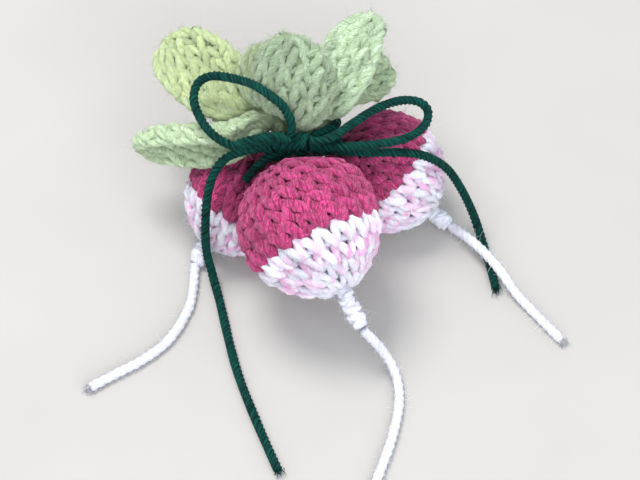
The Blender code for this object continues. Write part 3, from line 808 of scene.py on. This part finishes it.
# Base and held place are in the tie's frame: right, front and through it. The tint is tone and yellowness,
# and fold is how much further one edge curls over (+ the one across the leaf, - the other).
leaves = {
    "front_leaf_a": {
        "base": (-0.2, 5.6, -3.0), "held": (0.5, 5.3, 2.4),
        "blade": [(-4.2, 6.2, 46.0), (-6.8, 9.6, 54.0), (-9.6, 18.8, 60.6)],
        # Its tone of 0.65 is painted shade on the steep face that the light misses.
        "half": 11.3, "face": (0.0, -0.78, 0.62), "curl": -0.8, "tint": (0.65, 0.10),
    },
    "front_leaf_b": {
        "base": (-2.8, 1.8, -5.5), "held": (0.4, -0.1, 2.4),
        "blade": [(-9.6, 13.2, 44.6), (-13.8, 17.8, 48.0), (-16.6, 24.0, 50.0)],
        "half": 8.0, "face": (-0.1, -0.70, 0.70), "curl": -0.3, "tint": (0.80, 0.45),
    },
    "left_leaf_a": {
        "base": (-2.9, -8.1, -7.5), "held": (-2.8, -4.5, 2.4),
        "blade": [(-18.0, 16.0, 37.6), (-25.2, 20.2, 38.5), (-33.0, 28.6, 38.0), (-40.5, 38.0, 35.0)],
        "half": 10.0, "face": (-0.15, -0.40, 0.90), "curl": 0.75, "tint": (1.0, 0.80),
    },
    "left_leaf_b": {
        "base": (-5.0, -3.0, -6.2), "held": (-5.2, 0.0, 4.4),
        "blade": [(-16.5, 9.2, 37.8), (-21.8, 7.4, 35.8), (-29.7, 9.6, 32.0), (-39.0, 13.4, 26.8),
                  (-47.5, 15.2, 21.0)],
        "half": 8.0, "face": (-0.1, -0.90, 0.30), "curl": 1.45, "fold": 0.6, "tint": (1.08, 0.26),
    },
    "right_leaf_a": {
        "base": (6.8, -4.9, -5.7), "held": (5.9, -0.2, 3.2),
        "blade": [(4.2, 13.0, 42.4), (7.0, 20.0, 44.6), (9.2, 28.0, 46.0), (13.0, 38.7, 45.0)],
        "half": 8.4, "face": (-0.42, -0.42, 0.80), "curl": 0.6, "tint": (1.03, 0.06),
    },
    "right_leaf_b": {
        "base": (4.3, -9.4, -5.9), "held": (2.5, -4.7, 4.0),
        "blade": [(5.6, 21.4, 37.2), (11.6, 27.4, 35.4), (16.6, 34.0, 32.6)],
        # Its tone of 1.10 is painted light, brightening it where it lies in shadow.
        "half": 7.5, "face": (0.15, -0.25, 0.95), "curl": 0.4, "tint": (1.10, 0.30),
    },
}
leafCut = {
    "neckHalf": 1.4, "neckCurl": 0.15, "open": 0.35, "widest": 0.58, "tipRoundness": 2.4,
    "tightestBend": 4.5, "narrowest": 0.05, "neckSteps": 40, "bladeSteps": 240,
    "flatness": 0.18,       # of the oval that spreads the stitches round the leaf
    "stitchWidth": 4.7, "rowLength": 4.3, "edgeAllowance": 3.0, "fewest": 4,
    "sheet": 0.55,          # half the thickness of the closed sheet
    "sheetInset": 0.8, "sheetEnds": (0.4, 0.3), "sheetSides": 36, "sheetRings": 60, "sheetShade": 0.75,
    "under": 0.75,          # the strands' middle surface lies this far off the middle
    "underInset": 0.5,
    "strand": 1.08, "lift": 0.55,
    "bow": 0.42,            # how far a row bends back at the edges, as a share of the half width
    "stagger": 0.5,
}
braid = {       # chained yarn along a leaf's edge
    "half": 1.05, "steps": 60, "from": 0.25, "thick": 0.1, "inset": 0.35, "smoothing": 6,
    "twist": {"sides": 16, "plies": 2, "depth": 0.24, "twist": 8.4, "groove": 0.45},
}


def tiePoint(right, front, through=0.0):
    way = unit(np.array(tie["way"]))
    across = np.array(tie["right"])
    return np.array(tie["centre"]) + across * right + np.cross(across, way) * front + way * through


def bladeShare(t, neck):
    # Half width along the blade, as a share of its widest.
    rising = neck + (1 - neck) * (1 - np.cos(math.pi * t / leafCut["widest"])) / 2
    past = np.clip((t - leafCut["widest"]) / (1 - leafCut["widest"]), 0, 1)
    return np.where(t < leafCut["widest"], rising, np.sqrt(1 - past ** leafCut["tipRoundness"]))


def leafFrames(leaf):
    # Along the leaf's middle: places, directions, half width and curl, by the length from its base.
    right, front, _ = leaf["held"]
    route = [tiePoint(*leaf["base"]), tiePoint(right, front), tiePoint(*leaf["held"]), *leaf["blade"]]
    last = len(route) - 1
    neck = leafCut["neckSteps"]
    t = np.concatenate((np.zeros(neck), np.sin(np.linspace(0, math.pi / 2, leafCut["bladeSteps"]))))
    places = np.concatenate((np.linspace(0, 2, neck, endpoint=False), 2 + (last - 2) * t[neck:]))
    small = 0.05
    middle = splineThrough(route, places)
    ahead = splineThrough(route, np.minimum(places + small, last))
    behind = splineThrough(route, np.maximum(places - small, 0))
    along = unit(ahead - behind)
    opened = np.minimum(1.0, t / leafCut["open"])[:, None]
    neckFace = tiePoint(0, 1) - tiePoint(0, 0)
    across = unit(np.cross(along, neckFace * (1 - opened) + np.array(leaf["face"]) * opened))
    half = np.maximum(leaf["half"] * bladeShare(t, leafCut["neckHalf"] / leaf["half"]), leafCut["narrowest"])
    most = half / leafCut["tightestBend"]
    curled = leafCut["neckCurl"] + (1 - leafCut["neckCurl"]) * opened[:, 0]
    curl = np.clip(leaf["curl"] * curled, -most, most)
    pace = np.linalg.norm(np.diff(middle, axis=0), axis=1)
    return {"run": np.concatenate(([0.0], np.cumsum(pace))), "half": half, "fold": leaf.get("fold", 0.0),
            "columns": np.column_stack((middle, across, np.cross(across, along), half, curl))}


def sectionAngles(turns):
    # Even steps round a flat oval, as angles of it.
    angle = np.linspace(0, 2 * math.pi, 721)
    pace = np.hypot(np.diff(np.cos(angle)), leafCut["flatness"] * np.diff(np.sin(angle)))
    reach = np.concatenate(([0.0], np.cumsum(pace)))
    return np.interp(np.mod(turns, 1.0), reach / reach[-1], angle)


def leafSurface(frames, turns, run, thick, inset=0.0, bow=leafCut["bow"]):
    # Points round the flat leaf and the way out of it; thick is half its thickness.
    angle = sectionAngles(turns)
    side, rise = np.cos(angle), np.sin(angle)
    total = frames["run"][-1]
    rim = np.interp(run, frames["run"], frames["half"])
    run = np.clip(run - bow * rim * side ** 2, 0.0, total)
    mixed = np.stack([np.interp(run, frames["run"], column) for column in frames["columns"].T], -1)
    middle, across, face = mixed[..., :3], unit(mixed[..., 3:6]), unit(mixed[..., 6:9])
    half, curl = mixed[..., 9, None], mixed[..., 10, None]
    side, rise = side[..., None], rise[..., None]
    tighter = 1 + np.maximum(frames["fold"] * side, 0.0) * np.minimum(np.abs(curl), 1.0)
    bend = half / curl / tighter
    turn = curl * side * tighter * np.maximum(0.0, 1 - inset / half)
    level = middle + across * bend * np.sin(turn) + face * bend * (1 - np.cos(turn))
    normal = face * np.cos(turn) - across * np.sin(turn)
    sideways = across * np.cos(turn) + face * np.sin(turn)
    thick = np.minimum(thick, 0.6 * half)       # so that a narrow neck stays flat
    out = unit(sideways * side * np.maximum(thick, 0.2) + normal * rise * half)
    return level + normal * thick * rise, out


def leafRound(frames, row, count, shift, leaf):
    def place(u, v):
        run = leafCut["rowLength"] * (row + v)
        return leafSurface(frames, (u + shift) / count, run, leafCut["under"], leafCut["underInset"])
    tone, yellowness = leaf["tint"]
    return stitchRound(place, count, leafCut["strand"], leafCut["lift"], yellowness, tone)


def leafBraid(frames, leaf):
    # Up one edge, round the tip and down the other.
    count = braid["steps"]
    runs = frames["run"][-1] * np.sin(np.linspace(braid["from"], math.pi / 2, count))
    sides = [leafSurface(frames, np.full(count, turns), runs, braid["thick"], braid["inset"], 0.0)
             for turns in (0.0, 0.5)]
    path = np.concatenate((sides[0][0], sides[1][0][-2::-1]))
    out = np.concatenate((sides[0][1], sides[1][1][-2::-1]))
    for _ in range(braid["smoothing"]):
        path[1:-1] = (path[:-2] + 2 * path[1:-1] + path[2:]) / 4
    size = np.full(len(path), braid["half"])
    part = sweepStrands(path[None], out[None], size, size, braid["twist"], np.array([0.0]))
    part["tint"][:, 0], part["tint"][:, 1] = leaf["tint"]
    return part


def leafSheet(frames, leaf):
    # The closed sheet under the stitches, coloured mostly in painted shade to darken the gaps.
    first, last = leafCut["sheetEnds"]
    turns, runs = np.meshgrid(np.arange(leafCut["sheetSides"]) / leafCut["sheetSides"],
                              np.linspace(first, frames["run"][-1] - last, leafCut["sheetRings"]))
    points, _ = leafSurface(frames, turns, runs, leafCut["sheet"], leafCut["sheetInset"])
    sheet = closedGrid(points, leaf["tint"][1])
    sheet["tint"][:, 2] = leafCut["sheetShade"]
    return sheet


def makeLeaf(name, leaf):
    frames = leafFrames(leaf)
    total = frames["run"][-1]
    rows = round(total / leafCut["rowLength"])
    frames["run"] *= rows * leafCut["rowLength"] / total        # whole rows from base to tip
    parts = []
    shift = 0.0
    for row in range(rows):
        half = np.interp(leafCut["rowLength"] * (row + 0.6), frames["run"], frames["half"])
        around = 4 * half + leafCut["edgeAllowance"]
        count = max(leafCut["fewest"], 2 * round(around / leafCut["stitchWidth"] / 2))
        parts.append(leafRound(frames, row, count, shift, leaf))
        shift += stitch["hand"] * leafCut["stagger"]
    stitches = joinParts(parts + [leafBraid(frames, leaf)])
    sheet = leafSheet(frames, leaf)
    piece = makePiece(f"{name}_stitches", stitches, leafYarn, name)
    core = makePiece(f"{name}_sheet", sheet, leafYarn, name)
    fuzz = makeFuzz(f"{name}_fuzz", [fuzzOn(stitches, "leaves")], leafYarn)


for name, leaf in leaves.items():
    makeLeaf(name, leaf)
print("leaves are crocheted")


# The tie: turns of yarn round the necks, a short strand under the knot, and the knot in front

knot = {
    "centre": (-7.0, 1.2, 40.6),
    "turns": 4.5, "steps": 90, "firstAngle": 0.6, "yarn": 1.05, "reach": 1.45, "width": 7.4, "slant": 0.9,
    # The soft middle that closes the gaps between the turns, coloured partly in painted shade.
    "half": (3.8, 1.2, 1.35), "halfSteps": 13, "halfReach": 0.98, "halfShade": 0.7,
    # A slack doubled strand leads over the left loop's end into the knot.
    "slack": [(-20.6, -2.0, 43.4), (-18.2, -2.0, 44.6), (-15.0, -1.5, 45.2), (-12.2, -0.8, 44.9),
              (-9.8, -0.3, 43.9), (-7.8, -0.2, 42.4)],
    "slackApart": (0.0, -0.35, 0.9), "slackOffset": 0.85, "slackStart": 3.0,
}


def wrapNecks():
    parts = []
    for turn, radius, through in tie["turns"]:
        angles = np.radians(np.linspace(*turn, tie["turnPoints"]))
        levels = np.linspace(*through, tie["turnPoints"])
        route = [tiePoint(radius * math.cos(angle), radius * math.sin(angle), level)
                 for angle, level in zip(angles, levels)]
        parts.append(strandAlong(route, tieYarn, through[0])[1])
    parts.append(strandAlong(tie["lead"], tieYarn, tie["leadStart"])[1])
    part = joinParts(parts)
    makePiece("tie_wrap_yarn", part, greenYarn, "tie_wrap")
    makeFuzz("tie_wrap_fuzz", [fuzzOn(part, "tieYarn")], greenYarn)


def knotTurns():
    steps = knot["steps"]
    t = np.linspace(0, 1, steps)
    angle = 2 * math.pi * knot["turns"] * t + knot["firstAngle"]
    up = np.column_stack((np.zeros(steps), np.cos(angle), np.sin(angle)))
    path = np.array(knot["centre"]) + knot["reach"] * up
    path[:, 0] += knot["width"] * (t - 0.5) + knot["slant"] * np.cos(angle)
    size = np.full(steps, knot["yarn"])
    return sweepStrands(path[None], up[None], size, size, tieYarn["twist"], np.array([0.0]))


def knotMiddle():
    along = np.linspace(-knot["halfReach"], knot["halfReach"], knot["halfSteps"])
    path = np.array(knot["centre"]) + np.outer(along, (knot["half"][0], 0, 0))
    swell = np.sqrt(1 - along ** 2)
    ups = np.tile((0.0, 0.0, 1.0), (1, knot["halfSteps"], 1))
    part = sweepStrands(path[None], ups, knot["half"][1] * swell, knot["half"][2] * swell,
                        dict(tieYarn["twist"], depth=0.0), np.array([0.0]))
    # Painted shade on the soft middle between the turns.
    part["tint"][:, 2] = knot["halfShade"]
    return part


def tieKnot():
    parts = [knotTurns(), knotMiddle()]
    for offset in (-knot["slackOffset"], knot["slackOffset"]):
        route = np.array(knot["slack"]) + np.array(knot["slackApart"]) * offset
        parts.append(strandAlong(route, tieYarn, knot["slackStart"] * offset)[1])
    part = joinParts(parts)
    makePiece("tie_knot_turns", part, greenYarn, "tie_knot")
    makeFuzz("tie_knot_fuzz", [fuzzOn(part, "tieYarn")], greenYarn)


wrapNecks()
tieKnot()
print("the tie is on")
